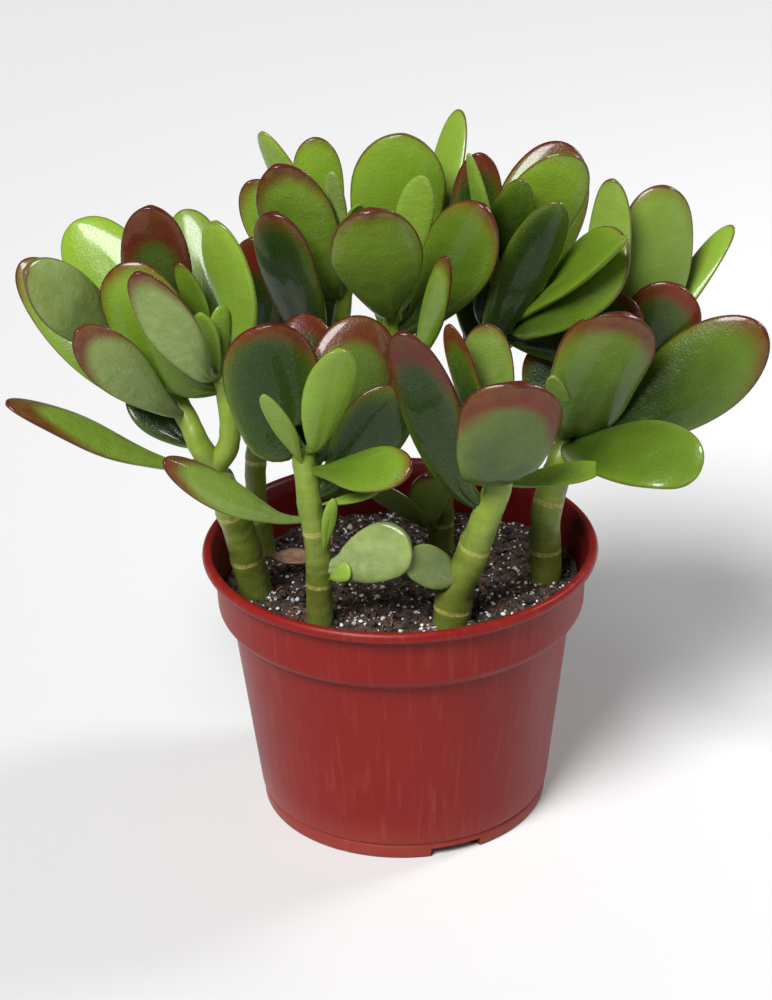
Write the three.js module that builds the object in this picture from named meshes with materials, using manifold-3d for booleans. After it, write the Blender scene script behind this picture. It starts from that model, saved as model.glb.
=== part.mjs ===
// A potted jade plant: six fleshy stems in a round plastic nursery pot, with a crown of thick leaves.
// Millimetres, +Z up. The origin is the middle of the pot's foot on the surface that it stands on, +Y points
// to the back of the plant and +X to its right.
import * as THREE from "three";
import { mergeVertices } from "three/addons/utils/BufferGeometryUtils.js";
import Module from "manifold-3d";

const wasm = await Module();
wasm.setup();

// Driving dimensions of the pot
const POT_HEIGHT = 100;
const POT_SIDES = 64;
const RIM_RADIUS = 70; // outer edge of the rolled lip
const LIP_HEIGHT = 4;
const COLLAR_TOP_RADIUS = 66;
const COLLAR_FOOT_RADIUS = 65;
const COLLAR_FOOT = 77; // height where the collar steps in to the wall
const WALL_TOP_RADIUS = 60.4;
const WALL_FOOT_RADIUS = 52;
const WALL_THICKNESS = 2;
const FOOT_RADIUS = 51.4;
const FOOT_HEIGHT = 6;
const FLOOR_THICKNESS = 2.5;
const FOOT_RING_WIDTH = 2.6;
const NOTCHES = 3;
const FIRST_NOTCH = 20; // degrees right of the front
const NOTCH_WIDTH = 19;
const NOTCH_HEIGHT = 3.4;
const DRAIN_HOLE_RADIUS = 4;
const DRAIN_HOLE_CIRCLE = 34;

// Driving dimensions of the soil, the stems and the leaves
const SOIL_SIDES = 32;
const SOIL_TOP = 84.5; // mean height of the soil's surface
const GAP = 0.3; // clearance between neighbouring pieces
const STEM_SIDES = 10;
const STEM_STEP = 7; // length of stem from one ring of its mesh to the next
const LEAF_SIDES = 8;
const LEAF_STATIONS = [0, 0.12, 0.3, 0.5, 0.7, 0.87, 0.96]; // parts of the leaf's length
const WIDEST = 0.64; // part of a leaf's length at which it is widest
const LEAF_FOOT = 0.2; // width of a leaf's foot, as a part of its greatest width
const LEAF_THICKNESS = 0.065; // half thickness for each millimetre of width, beyond the thinnest
const LEAF_THINNEST = 0.6;
const TOP_FULLNESS = 0.65; // the upper side of a leaf is flatter than the lower

const LEAF_GREEN = 0x4f7f24;
const LEAF_RED = 0x7a3a2a;
const STEM_GREEN = 0x71893c;
const POT_RED = 0x8f2f22;
const SOIL_BROWN = 0x2b211c;

// Each stem is one piece with its branches. A shoot is a chain of points on its axis, with its radius at the
// first and last point. A leaf is written as
// [shoot, percent of the shoot's length, tip, width, [heading, tilt] of its upper face, bend, taper, blush].
// A face's heading is in degrees from the front towards the right, its tilt in degrees above level. The bend is
// how far the leaf's middle sags behind the line from base to tip, the taper runs from 1, round, to 5, a spoon,
// and blush marks a reddened leaf.
const STEMS = {
  left: {
    shoots: {
      trunk: {
        radius: [6.5, 5.2],
        axis: [[-48, -7, 66], [-53, -9, 96], [-56, -10, 110], [-60, -12, 125], [-63, -12, 135]],
      },
      outer: {
        radius: [4.4, 3],
        axis: [[-63, -12, 135], [-68, -13, 145], [-72, -9, 153], [-78, -2, 162], [-87, 6, 172]],
      },
      inner: {
        radius: [4.4, 3.2],
        axis: [[-63, -12, 135], [-58, -14, 144], [-57, -14, 154], [-58, -12, 162], [-60, -12, 170]],
      },
    },
    leaves: [
      ["outer", 9, [-129, -34, 171], 18, [0, 75], -1, 5, 1],
      ["outer", 44, [-104, -34, 196], 18, [-20, 40], -3, 3, 0],
      ["outer", 21, [-92, 6, 158], 15, [0, 45], 1, 3, 0],
      ["outer", 58, [-128, 20, 200], 22, [-10, 45], 0, 2, 0],
      ["outer", 98, [-119, -34, 217], 23, [-20, 45], 1, 3, 0],
      ["outer", 100, [-110, 28, 211], 27, [-15, 30], 1, 2, 0],
      ["outer", 84, [-80, -6, 228], 24, [0, 10], 3, 2, 1],
      ["inner", 86, [-91, -14, 211], 28, [-15, 25], -4, 2, 0],
      ["inner", 100, [-83, -38, 217], 18, [-30, 45], 3, 3, 0],
      ["inner", 100, [-59, -8, 223], 22, [-45, 15], 3, 3, 0],
      ["inner", 90, [-73, 38, 211], 22, [-10, 10], 3, 2, 0],
    ],
  },
  front_left: {
    shoots: {
      trunk: {
        radius: [4.8, 3.8],
        axis: [
          [-28, -37, 68], [-28, -37, 100], [-28, -38, 117], [-30, -39, 133],
          [-31, -39, 146], [-32, -38, 154],
        ],
      },
    },
    leaves: [
      ["trunk", 100, [-41, -32, 196], 31, [-5, 5], 2, 1, 0],
      ["trunk", 86, [-31, 4, 185], 24, [0, 10], 2, 2, 0],
      ["trunk", 95, [-8, -14, 190], 29, [10, 10], 2, 2, 1],
      ["trunk", 80, [2, -35, 173], 24, [20, 10], 3, 2, 0],
      ["trunk", 99, [-18, -58, 197], 18, [25, 15], 3, 3, 0],
      ["trunk", 91, [4, -62, 157], 17, [0, 50], 0, 3, 0],
      ["trunk", 70, [-77, -50, 156], 14, [-10, 55], 2, 4, 0],
      ["trunk", 48, [3, -48, 124], 20, [10, 25], 0, 2, 0],
    ],
  },
  front: {
    shoots: {
      trunk: {
        radius: [7, 4.4],
        axis: [
          [15, -38, 68], [18, -39, 97], [23, -40, 112], [28, -41, 126],
          [32, -42, 138], [34, -43, 146],
        ],
      },
    },
    leaves: [
      ["trunk", 81, [1, -52, 200], 23, [-25, 5], 5, 2, 0],
      ["trunk", 100, [40, -58, 184], 34, [10, 5], 2, 1, 1],
      ["trunk", 90, [30, -24, 191], 20, [-15, 10], 4, 2, 0],
    ],
  },
  right: {
    shoots: {
      trunk: {
        radius: [5.8, 5],
        axis: [[51, -8, 68], [51, -8, 95], [51, -7, 112], [54, -5, 124], [56, -2, 131]],
      },
      low: {
        radius: [4.2, 3.6],
        axis: [[56, -2, 131], [58, 0, 135], [60, 1, 140]],
      },
      high: {
        radius: [4, 3],
        axis: [[56, -2, 131], [64, 6, 140], [71, 10, 153], [74, 14, 168]],
      },
    },
    leaves: [
      ["low", 100, [77, -16, 190], 34, [15, 10], 3, 1, 1],
      ["low", 80, [125, -4, 179], 31, [10, 30], 2, 3, 0],
      ["low", 45, [97, -50, 145], 29, [10, 50], -14, 1, 0],
      ["low", 60, [54, 18, 167], 20, [-10, 10], 3, 2, 0],
      ["high", 66, [98, 8, 190], 28, [0, 10], 3, 1, 1],
      ["high", 100, [74, 14, 227], 16, [-30, 5], 3, 3, 0],
      ["high", 94, [94, 26, 220], 28, [10, 10], 3, 2, 0],
      ["high", 80, [119, 40, 200], 14, [-50, 40], 0, 3, 0],
      ["high", 72, [92, 66, 186], 28, [10, 50], 4, 2, 0],
    ],
  },
  back_left: {
    shoots: {
      trunk: {
        radius: [4.2, 2.8],
        axis: [
          [-47, 22, 70], [-51, 24, 103], [-51, 25, 119], [-48, 26, 132],
          [-35, 24, 146], [-23, 22, 162], [-18, 24, 180], [-19, 28, 194],
        ],
      },
    },
    leaves: [
      ["trunk", 100, [-44, 24, 243], 16, [-60, 40], 4, 3, 0],
      ["trunk", 100, [-27, 48, 233], 18, [0, 15], 3, 2, 0],
      ["trunk", 92, [-39, 6, 237], 25, [-15, 25], 3, 2, 1],
      ["trunk", 90, [-50, 34, 222], 20, [-10, 15], 3, 2, 0],
      ["trunk", 50, [-48, 22, 206], 21, [-10, 10], 2, 2, 1],
      ["trunk", 76, [-40, 2, 222], 25, [-30, 5], 0, 2, 0],
      ["trunk", 78, [-30, 72, 200], 28, [0, 60], 4, 2, 0],
      ["trunk", 58, [-64, 70, 184], 26, [-10, 50], 4, 2, 0],
    ],
  },
  centre: {
    shoots: {
      trunk: {
        radius: [4.8, 4.2],
        axis: [[13, 21, 68], [15, 20, 93], [15, 19, 110], [14, 18, 121], [12, 18, 130]],
      },
      middle: {
        radius: [3.6, 3],
        axis: [[12, 18, 130], [6, 14, 147], [1, 9, 165], [-1, 8, 180], [0, 10, 190]],
      },
      far: {
        radius: [3.6, 3],
        axis: [[12, 18, 130], [19, 17, 144], [30, 16, 159], [38, 14, 175]],
      },
    },
    leaves: [
      ["far", 100, [77, -14, 214], 28, [15, 55], -6, 3, 0],
      ["far", 93, [83, -6, 185], 26, [0, 15], 2, 3, 0],
      ["far", 90, [62, 60, 225], 31, [0, 15], 6, 2, 0],
      ["far", 100, [61, 11, 237], 27, [20, 20], 2, 2, 0],
      ["far", 90, [43, 4, 231], 16, [-10, 15], 3, 2, 0],
      ["far", 84, [54, -14, 229], 18, [10, 10], 3, 2, 0],
      ["far", 70, [30, 30, 232], 20, [-10, 10], 3, 3, 0],
      ["far", 60, [48, 72, 184], 26, [0, 50], 4, 2, 0],
      ["middle", 88, [-8, -26, 232], 30, [-5, 25], 3, 3, 1],
      ["middle", 100, [4, 28, 240], 32, [0, 15], 3, 1, 0],
      ["middle", 78, [30, -10, 227], 26, [-20, 10], 3, 3, 0],
      ["middle", 86, [24, 57, 239], 16, [-45, 10], 3, 3, 0],
      ["middle", 62, [8, 71, 205], 30, [0, 50], 4, 2, 0],
    ],
  },
};

// A closed skin over a list of rings with the same number of points, ended by a point at each side.
function skin(start, rings, end) {
  const sides = rings[0].length;
  const points = [start, ...rings.flat(), end];
  const triangles = [];
  for (let i = 0; i < sides; i++) {
    const j = (i + 1) % sides;
    triangles.push(0, 1 + j, 1 + i);
    for (let r = 0; r < rings.length - 1; r++) {
      const a = 1 + r * sides;
      const b = a + sides;
      triangles.push(a + i, a + j, b + i);
      triangles.push(a + j, b + j, b + i);
    }
    const last = 1 + (rings.length - 1) * sides;
    triangles.push(last + i, last + j, points.length - 1);
  }
  const geometry = new THREE.BufferGeometry().setFromPoints(points);
  geometry.setIndex(triangles);
  return geometry;
}

// A geometry as a solid for joining and cutting, and a solid as a geometry.
function solidOf(geometry) {
  const bare = geometry.clone();
  bare.deleteAttribute("normal");
  bare.deleteAttribute("uv");
  const merged = mergeVertices(bare);
  return new wasm.Manifold(
    new wasm.Mesh({
      numProp: 3,
      vertProperties: merged.attributes.position.array,
      triVerts: new Uint32Array(merged.index.array),
    }),
  );
}

function geometryOf(solid) {
  const mesh = solid.getMesh();
  const geometry = new THREE.BufferGeometry();
  geometry.setAttribute("position", new THREE.BufferAttribute(mesh.vertProperties, 3));
  geometry.setIndex(new THREE.BufferAttribute(mesh.triVerts, 1));
  return geometry;
}

// A profile of [radius, height] pairs turned about +Z.
function turned(profile, sides) {
  const points = profile.map(([radius, height]) => new THREE.Vector2(radius, height));
  return new THREE.LatheGeometry(points, sides).rotateX(Math.PI / 2);
}

function wallRadius(height) {
  const part = (height - FOOT_HEIGHT) / (COLLAR_FOOT - FOOT_HEIGHT);
  return WALL_FOOT_RADIUS + (WALL_TOP_RADIUS - WALL_FOOT_RADIUS) * part;
}

// Outside from the foot up to the lip, then down the inside to the floor and under it to the foot ring.
function potBody() {
  const floorTop = FOOT_HEIGHT + FLOOR_THICKNESS;
  const collarTop = POT_HEIGHT - LIP_HEIGHT;
  const ringInside = FOOT_RADIUS - FOOT_RING_WIDTH;
  const profile = [
    [0, FOOT_HEIGHT],
    [ringInside, FOOT_HEIGHT],
    [ringInside, 0],
    [FOOT_RADIUS, 0],
    [FOOT_RADIUS, FOOT_HEIGHT - 1],
    [WALL_FOOT_RADIUS, FOOT_HEIGHT],
    [WALL_TOP_RADIUS, COLLAR_FOOT - 2],
    [COLLAR_FOOT_RADIUS - 1.5, COLLAR_FOOT - 1],
    [COLLAR_FOOT_RADIUS, COLLAR_FOOT + 1],
    [COLLAR_TOP_RADIUS, collarTop],
    [RIM_RADIUS - 0.5, collarTop],
    [RIM_RADIUS, collarTop + 2],
    [RIM_RADIUS - 1, POT_HEIGHT],
    [RIM_RADIUS - 3, POT_HEIGHT],
    [COLLAR_TOP_RADIUS - WALL_THICKNESS, collarTop - 1],
    [COLLAR_FOOT_RADIUS - WALL_THICKNESS, COLLAR_FOOT + 2],
    [WALL_TOP_RADIUS - WALL_THICKNESS, COLLAR_FOOT - 1],
    [WALL_FOOT_RADIUS - WALL_THICKNESS, floorTop],
    [0, floorTop],
  ];
  return turned(profile, POT_SIDES);
}

// Three slots through the foot ring let water out, below three round holes in the floor.
function potDrains() {
  const cutters = [];
  for (let i = 0; i < NOTCHES; i++) {
    const turn = THREE.MathUtils.degToRad(FIRST_NOTCH - 90 + (i * 360) / NOTCHES);
    const slot = new THREE.BoxGeometry(FOOT_RADIUS, NOTCH_WIDTH, NOTCH_HEIGHT * 2);
    slot.translate(FOOT_RADIUS, 0, 0).rotateZ(turn);
    const hole = new THREE.CylinderGeometry(DRAIN_HOLE_RADIUS, DRAIN_HOLE_RADIUS, FOOT_HEIGHT * 4, 12);
    hole.rotateX(Math.PI / 2).translate(DRAIN_HOLE_CIRCLE, 0, FOOT_HEIGHT).rotateZ(turn);
    cutters.push(solidOf(slot), solidOf(hole));
  }
  return cutters;
}

function pot() {
  const solid = potDrains().reduce((body, cutter) => body.subtract(cutter), solidOf(potBody()));
  return geometryOf(solid);
}

// Height of the soil's surface: a little higher at the front and right, hollowed at the back left, with lumps.
function soilHeight(x, y) {
  const slope = 0.03 * x - 0.06 * y;
  const lumps = Math.sin(x / 9) * Math.cos(y / 11) + 0.6 * Math.sin((x + y) / 5);
  return SOIL_TOP + slope + lumps;
}

function soilRing(radius, height) {
  const ring = [];
  for (let i = 0; i < SOIL_SIDES; i++) {
    const angle = (i * 2 * Math.PI) / SOIL_SIDES;
    const x = radius * Math.cos(angle);
    const y = radius * Math.sin(angle);
    ring.push(new THREE.Vector3(x, y, height ?? soilHeight(x, y)));
  }
  return ring;
}

// The soil fills the pot from its floor, follows the step of the collar, and is bored out for each stem.
function soil(bores) {
  const foot = FOOT_HEIGHT + FLOOR_THICKNESS + GAP;
  const room = WALL_THICKNESS + GAP;
  const rings = [
    soilRing(wallRadius(foot) - room - GAP, foot),
    soilRing(WALL_TOP_RADIUS - room - GAP, COLLAR_FOOT - 1),
    soilRing(COLLAR_FOOT_RADIUS - room - GAP, COLLAR_FOOT + 3),
    soilRing(COLLAR_FOOT_RADIUS - room),
    soilRing(50),
    soilRing(34),
    soilRing(16),
  ];
  const bottom = new THREE.Vector3(0, 0, foot);
  const top = new THREE.Vector3(0, 0, soilHeight(0, 0));
  const filled = solidOf(skin(bottom, rings, top));
  return geometryOf(bores.reduce((body, bore) => body.subtract(bore), filled));
}

function vector([x, y, z]) {
  return new THREE.Vector3(x, y, z);
}

function shootCurve(shoot) {
  return new THREE.CatmullRomCurve3(shoot.axis.map(vector), false, "centripetal");
}

function shootRadius(shoot, part) {
  return THREE.MathUtils.lerp(shoot.radius[0], shoot.radius[1], part);
}

// A round tapering tube along the shoot's axis with a blunt dome at each end, made fatter by spare for a bore.
function shootSolid(shoot, spare) {
  const curve = shootCurve(shoot);
  const steps = Math.max(2, Math.round(curve.getLength() / STEM_STEP));
  const rings = [];
  for (let i = 0; i <= steps; i++) {
    const part = i / steps;
    const centre = curve.getPointAt(part);
    const along = curve.getTangentAt(part);
    const across = new THREE.Vector3(1, 0, 0).cross(along).normalize();
    const other = along.clone().cross(across);
    const radius = shootRadius(shoot, part) + spare;
    const ring = [];
    for (let k = 0; k < STEM_SIDES; k++) {
      const angle = (k * 2 * Math.PI) / STEM_SIDES;
      const point = centre.clone().addScaledVector(across, radius * Math.cos(angle));
      ring.push(point.addScaledVector(other, radius * Math.sin(angle)));
    }
    rings.push(ring);
  }
  const below = curve.getPointAt(0).addScaledVector(curve.getTangentAt(0), -shoot.radius[0] / 2 - spare);
  const above = curve.getPointAt(1).addScaledVector(curve.getTangentAt(1), shoot.radius[1] / 2 + spare);
  return solidOf(skin(below, rings, above));
}

function stemSolid(stem, spare) {
  return Object.values(stem.shoots)
    .map((shoot) => shootSolid(shoot, spare))
    .reduce((whole, branch) => whole.add(branch));
}

// Unit vector of a heading and a tilt in degrees.
function facing([heading, tilt]) {
  const turn = THREE.MathUtils.degToRad(heading);
  const rise = THREE.MathUtils.degToRad(tilt);
  const level = Math.cos(rise);
  return new THREE.Vector3(Math.sin(turn) * level, -Math.cos(turn) * level, Math.sin(rise));
}

// Half the width of a leaf at a part of its length, as a part of its greatest half width: a narrow foot that
// swells to the widest place, and a round end. A taper of 1 swells at once, as on a round leaf, and one of 5
// swells late.
function leafOutline(part, taper) {
  if (part >= WIDEST) return Math.sqrt(1 - ((part - WIDEST) / (1 - WIDEST)) ** 2);
  const swell = Math.sin((part / WIDEST) * (Math.PI / 2)) ** (taper / 2);
  return LEAF_FOOT + (1 - LEAF_FOOT) * swell;
}

// A flat-topped oval with its middle at a point: side and over are the directions of its width and its top.
function leafRing(at, side, over, halfWidth, halfThickness) {
  const ring = [];
  for (let k = 0; k < LEAF_SIDES; k++) {
    const angle = (k * 2 * Math.PI) / LEAF_SIDES;
    const lift = Math.sin(angle) * halfThickness * (Math.sin(angle) > 0 ? TOP_FULLNESS : 1);
    const point = at.clone().addScaledVector(side, -halfWidth * Math.cos(angle));
    ring.push(point.addScaledVector(over, lift));
  }
  return ring;
}

// A leaf is an oval section carried along a curve from the skin of its shoot to its tip.
function leaf(shoot, percent, tipPoint, width, face, bend, taper) {
  const curve = shootCurve(shoot);
  const part = percent / 100;
  const centre = curve.getPointAt(part);
  const along = curve.getTangentAt(part);
  const tip = vector(tipPoint);
  const reach = tip.clone().sub(centre).normalize();
  const outward = reach.clone().addScaledVector(along, -reach.dot(along)).normalize();
  const leave = reach.clone().addScaledVector(outward, 0.4).normalize();
  const up = facing(face);
  const halfThickness = LEAF_THINNEST + width * LEAF_THICKNESS;
  const footSide = leave.clone().cross(up).normalize();
  const footOver = footSide.clone().cross(leave);
  const footWidth = Math.abs(footSide.dot(outward)) * LEAF_FOOT * (width / 2);
  const footDepth = Math.abs(footOver.dot(outward)) * halfThickness;
  const clear = shootRadius(shoot, part) + GAP + footWidth + footDepth;
  const base = centre.clone().addScaledVector(outward, clear);
  const length = base.distanceTo(tip);
  const near = base.clone().addScaledVector(leave, length * 0.25).addScaledVector(up, -bend * 0.8);
  const far = base.clone().lerp(tip, 0.7).addScaledVector(up, -bend * 1.2);
  const spine = new THREE.CubicBezierCurve3(base, near, far, tip);
  const rings = LEAF_STATIONS.map((station) => {
    const forward = spine.getTangent(station);
    const side = forward.clone().cross(up).normalize();
    const over = side.clone().cross(forward);
    const halfWidth = (width / 2) * leafOutline(station, taper);
    const thinning = station > WIDEST ? 1 - (station - WIDEST) * 1.6 : 1;
    const thickness = Math.min(halfWidth, halfThickness * thinning);
    return leafRing(spine.getPoint(station), side, over, halfWidth, thickness);
  });
  const heel = base.clone().addScaledVector(leave, -0.2);
  return skin(heel, rings, tip);
}

const plant = new THREE.Group();

function place(name, geometry, color, roughness) {
  const material = new THREE.MeshStandardMaterial({ color, roughness, metalness: 0 });
  const mesh = new THREE.Mesh(geometry, material);
  mesh.name = name;
  plant.add(mesh);
}

place("pot", pot(), POT_RED, 0.45);
place("soil", soil(Object.values(STEMS).map((stem) => stemSolid(stem, GAP))), SOIL_BROWN, 0.95);
for (const [name, stem] of Object.entries(STEMS)) {
  place(`stem_${name}`, geometryOf(stemSolid(stem, 0)), STEM_GREEN, 0.5);
  stem.leaves.forEach(([shoot, percent, tip, width, face, bend, taper, blush], i) => {
    const blade = leaf(stem.shoots[shoot], percent, tip, width, face, bend, taper);
    place(`leaf_${name}_${i + 1}`, blade, blush ? LEAF_RED : LEAF_GREEN, 0.35);
  });
}

export default plant;
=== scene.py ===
import bpy
import numpy as np
from bpy.props import FloatProperty, FloatVectorProperty, IntProperty, PointerProperty
from mathutils import Matrix, Vector


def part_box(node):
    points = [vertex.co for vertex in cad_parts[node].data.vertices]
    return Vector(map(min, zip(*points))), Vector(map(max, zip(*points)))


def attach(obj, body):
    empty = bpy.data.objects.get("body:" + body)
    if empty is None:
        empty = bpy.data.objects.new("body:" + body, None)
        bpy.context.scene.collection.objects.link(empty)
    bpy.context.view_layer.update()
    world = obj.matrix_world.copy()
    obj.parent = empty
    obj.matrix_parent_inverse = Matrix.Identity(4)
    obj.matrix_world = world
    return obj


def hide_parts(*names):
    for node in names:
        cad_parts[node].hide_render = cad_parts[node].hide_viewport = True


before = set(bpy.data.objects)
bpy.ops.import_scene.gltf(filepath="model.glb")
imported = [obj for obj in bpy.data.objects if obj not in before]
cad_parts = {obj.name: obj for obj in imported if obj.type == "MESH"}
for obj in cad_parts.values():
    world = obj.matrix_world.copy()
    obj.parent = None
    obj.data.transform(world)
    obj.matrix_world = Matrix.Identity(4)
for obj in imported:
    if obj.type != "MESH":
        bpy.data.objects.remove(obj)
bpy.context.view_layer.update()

bl_info = {
    "name": "Potted jade plant",
    "version": (1, 0, 0),
    "blender": (4, 5, 0),
    "location": "3D View > Sidebar > Jade plant",
    "description": "Makes a jade plant in a round plastic pot round its packed frame",
    "category": "Add Mesh",
}

MM = 0.001
TURN = 2 * np.pi
LEAF_NODES = sorted(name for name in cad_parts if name.startswith("leaf_"))

# The stems' shoots: radius at the first and last point, then the points on the axis, in millimetres. A
# branch starts inside its trunk.
SHOOTS = {
    "stem_left": [
        ((6.5, 5.2), [(-48, -7, 66), (-53, -9, 96), (-56, -10, 110), (-60, -12, 125), (-63, -12, 135)]),
        ((4.4, 3.0), [(-61, -12, 127), (-63, -12, 135), (-68, -13, 145), (-72, -9, 153), (-78, -2, 162),
                      (-87, 6, 172)]),
        ((4.4, 3.2), [(-61, -12, 127), (-63, -12, 135), (-58, -14, 144), (-57, -14, 154), (-58, -12, 162),
                      (-60, -12, 170)]),
    ],
    "stem_front_left": [
        ((4.8, 3.8), [(-28, -37, 68), (-28, -37, 100), (-28, -38, 117), (-30, -39, 133), (-31, -39, 146),
                      (-32, -38, 154)]),
    ],
    "stem_front": [
        ((7.0, 4.4), [(15, -38, 68), (18, -39, 97), (23, -40, 112), (28, -41, 126), (32, -42, 138),
                      (34, -43, 146)]),
    ],
    "stem_right": [
        ((5.8, 5.0), [(51, -8, 68), (51, -8, 95), (51, -7, 112), (54, -5, 124), (56, -2, 131)]),
        ((4.6, 3.8), [(54, -4, 124), (56, -2, 131), (58, 0, 135), (60, 1, 141)]),
        ((4.0, 3.0), [(54, -4, 124), (56, -2, 131), (64, 6, 140), (71, 10, 153), (74, 14, 168)]),
    ],
    "stem_back_left": [
        ((4.2, 2.8), [(-47, 22, 70), (-51, 24, 103), (-51, 25, 119), (-48, 26, 132), (-35, 24, 146),
                      (-23, 22, 162), (-18, 24, 180), (-19, 28, 194)]),
    ],
    "stem_centre": [
        ((4.8, 4.2), [(13, 21, 68), (15, 20, 93), (15, 19, 110), (14, 18, 121), (12, 18, 130)]),
        ((3.6, 3.0), [(14, 18, 122), (12, 18, 130), (6, 14, 147), (1, 9, 165), (-1, 8, 180), (0, 10, 190)]),
        ((3.6, 3.0), [(14, 18, 122), (12, 18, 130), (19, 17, 144), (30, 16, 159), (38, 14, 175)]),
    ],
}

# Heights of the old ring scars on each stem's trunk, in millimetres.
SCARS = {
    "stem_left": [99, 118],
    "stem_front_left": [103, 124],
    "stem_front": [94, 117],
    "stem_right": [99, 117],
    "stem_back_left": [98, 120, 137],
    "stem_centre": [97, 115],
}

# Each leaf's look in tenths: tone from dark to bright, paleness, and how far it has reddened. The lowest
# tones, on the leaves deep inside the crown, are partly their own dark colour and partly painted shade.
LEAF_LOOKS = {
    "leaf_left_1": (3, 2, 8), "leaf_left_2": (-1, 7, 7), "leaf_left_3": (-6, 0, 2), "leaf_left_4": (1, 1, 4),
    "leaf_left_5": (0, 9, 2), "leaf_left_6": (4, 0, 1), "leaf_left_7": (-5, 1, 10), "leaf_left_8": (1, 0, 4),
    "leaf_left_9": (1, 10, 5), "leaf_left_10": (4, 1, 1), "leaf_left_11": (0, 1, 2),
    "leaf_front_left_1": (-7, 0, 5), "leaf_front_left_2": (-8, 0, 7), "leaf_front_left_3": (-3, 1, 9),
    "leaf_front_left_4": (-9, 0, 3), "leaf_front_left_5": (5, 1, 0), "leaf_front_left_6": (0, 0, 4),
    "leaf_front_left_7": (1, 3, 6), "leaf_front_left_8": (-3, 10, 0),
    "leaf_front_1": (-7, 0, 7), "leaf_front_2": (-4, 2, 10), "leaf_front_3": (-1, 3, 3),
    "leaf_right_1": (-2, 1, 6), "leaf_right_2": (-4, 0, 4), "leaf_right_3": (-2, 0, 1),
    "leaf_right_4": (-6, 0, 6), "leaf_right_5": (-5, 0, 7), "leaf_right_6": (2, 3, 2),
    "leaf_right_7": (0, 2, 3), "leaf_right_8": (3, 1, 2), "leaf_right_9": (0, 0, 3),
    "leaf_back_left_1": (4, 2, 1), "leaf_back_left_2": (2, 0, 3), "leaf_back_left_3": (2, 1, 5),
    "leaf_back_left_4": (2, 1, 4), "leaf_back_left_5": (-9, 0, 9), "leaf_back_left_6": (-8, 0, 4),
    "leaf_back_left_7": (-8, 0, 3), "leaf_back_left_8": (-5, 0, 3),
    "leaf_centre_1": (-2, 0, 2), "leaf_centre_2": (-5, 0, 5), "leaf_centre_3": (-2, 0, 5),
    "leaf_centre_4": (2, 0, 2), "leaf_centre_5": (-6, 0, 1), "leaf_centre_6": (-7, 0, 1),
    "leaf_centre_7": (-7, 0, 5), "leaf_centre_8": (-8, 0, 3), "leaf_centre_9": (2, 1, 4),
    "leaf_centre_10": (1, 0, 2), "leaf_centre_11": (-2, 0, 4), "leaf_centre_12": (2, 1, 2),
    "leaf_centre_13": (-8, 0, 3),
}

# Young and small leaves that grow from the stems beside the larger ones. Millimetres and degrees:
# name: base, tip, width, (heading, tilt) of the upper face, bend, taper, look.
YOUNG_LEAVES = {
    "young_front_left_1": ((-32, -42, 150), (-43, -58, 182), 8, (-20, 20), 2, 3, (4, 2, 0)),
    "young_front_left_2": ((-26, -41, 116), (-22, -44, 138), 5, (20, 20), 1, 3, (3, 1, 0)),
    "young_front_left_3": ((-26, -40, 134), (-6, -48, 143), 5, (0, 60), 1, 3, (3, 1, 2)),
    "young_front_left_4": ((-24, -40, 106), (-17, -44, 112), 7, (10, 40), 0, 2, (4, 2, 0)),
    "young_centre_1": ((6, 10, 160), (17, -28, 216), 11, (-35, 10), 2, 3, (5, 1, 5)),
    "young_centre_2": ((37, 13, 172), (25, -4, 243), 9, (-50, 10), 2, 3, (4, 2, 0)),
    "young_centre_3": ((0, 8, 188), (10, -2, 235), 13, (-10, 10), 2, 2, (5, 2, 0)),
    "young_centre_4": ((38, 12, 176), (75, -30, 222), 14, (-80, 50), 1, 3, (0, 0, 1)),
    "young_centre_5": ((12, 13, 100), (10, -6, 128), 15, (10, 5), 2, 2, (3, 3, 4)),
    "young_centre_6": ((10, 14, 98), (-9, -6, 124), 13, (-30, 10), 2, 2, (2, 3, 2)),
    "young_centre_7": ((36, 15, 172), (47, 22, 204), 18, (0, 10), 2, 2, (-5, 0, 8)),
    "young_back_left_1": ((-19, 26, 190), (-20, 4, 235), 9, (-35, 15), 2, 2, (8, 8, 0)),
    "young_back_left_2": ((-18, 25, 188), (-12, 8, 222), 10, (30, 10), 2, 2, (-2, 0, 0)),
    "young_left_1": ((-60, -13, 170), (-65, -16, 194), 9, (-30, 10), 1, 2, (3, 2, 0)),
    "young_left_2": ((-60, -13, 170), (-58, -10, 194), 8, (30, 10), 1, 2, (3, 2, 0)),
    "young_left_3": ((-61, -11, 178), (-72, -6, 208), 9, (-30, 20), 1, 3, (-2, 0, 3)),
    "young_right_1": ((59, -1, 140), (52, -20, 170), 8, (-20, 20), 1, 2, (4, 5, 0)),
    "young_front_1": ((33, -41, 141), (69, -32, 142), 9, (0, 60), 2, 2, (0, 0, 0)),
    "young_front_2": ((31, -39, 139), (17, -31, 194), 12, (-40, 5), 2, 3, (-4, 0, 6)),
    "young_front_3": ((18, -42, 105), (2, -46, 118), 14, (0, 30), 1, 1, (-4, 6, 0)),
}

# Withered bits: base, tip, width, face, bend, taper.
DRY_LEAVES = {
    "fallen_leaf": ((-46, 4, 92), (-32, 0, 93), 7, (0, 60), -1, 2),
    "dry_tip_1": ((84, 8, 137), (96, 8, 146), 6, (10, 30), -2, 2),
    "dry_tip_2": ((88, 6, 136), (99, 6, 141), 5, (20, 40), -2, 2),
}

# Proportions of the leaves, the same as in the frame
STATIONS = np.array([0, 0.12, 0.3, 0.5, 0.7, 0.87, 0.96])
CAD_SIDES = 8
WIDEST = 0.64
WIDE_STATION = 4
LEAF_FOOT = 0.2
TAPERS = np.arange(1, 6)

# Proportions of the soil in millimetres: the mean height of its top, the same as in the frame, and the radius and
# height of each corner of its side from the floor up
SOIL_TOP = 84.5
SOIL_SIDE = [(49.0, 8.8), (57.6, 75.5), (62.6, 80)]

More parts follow.
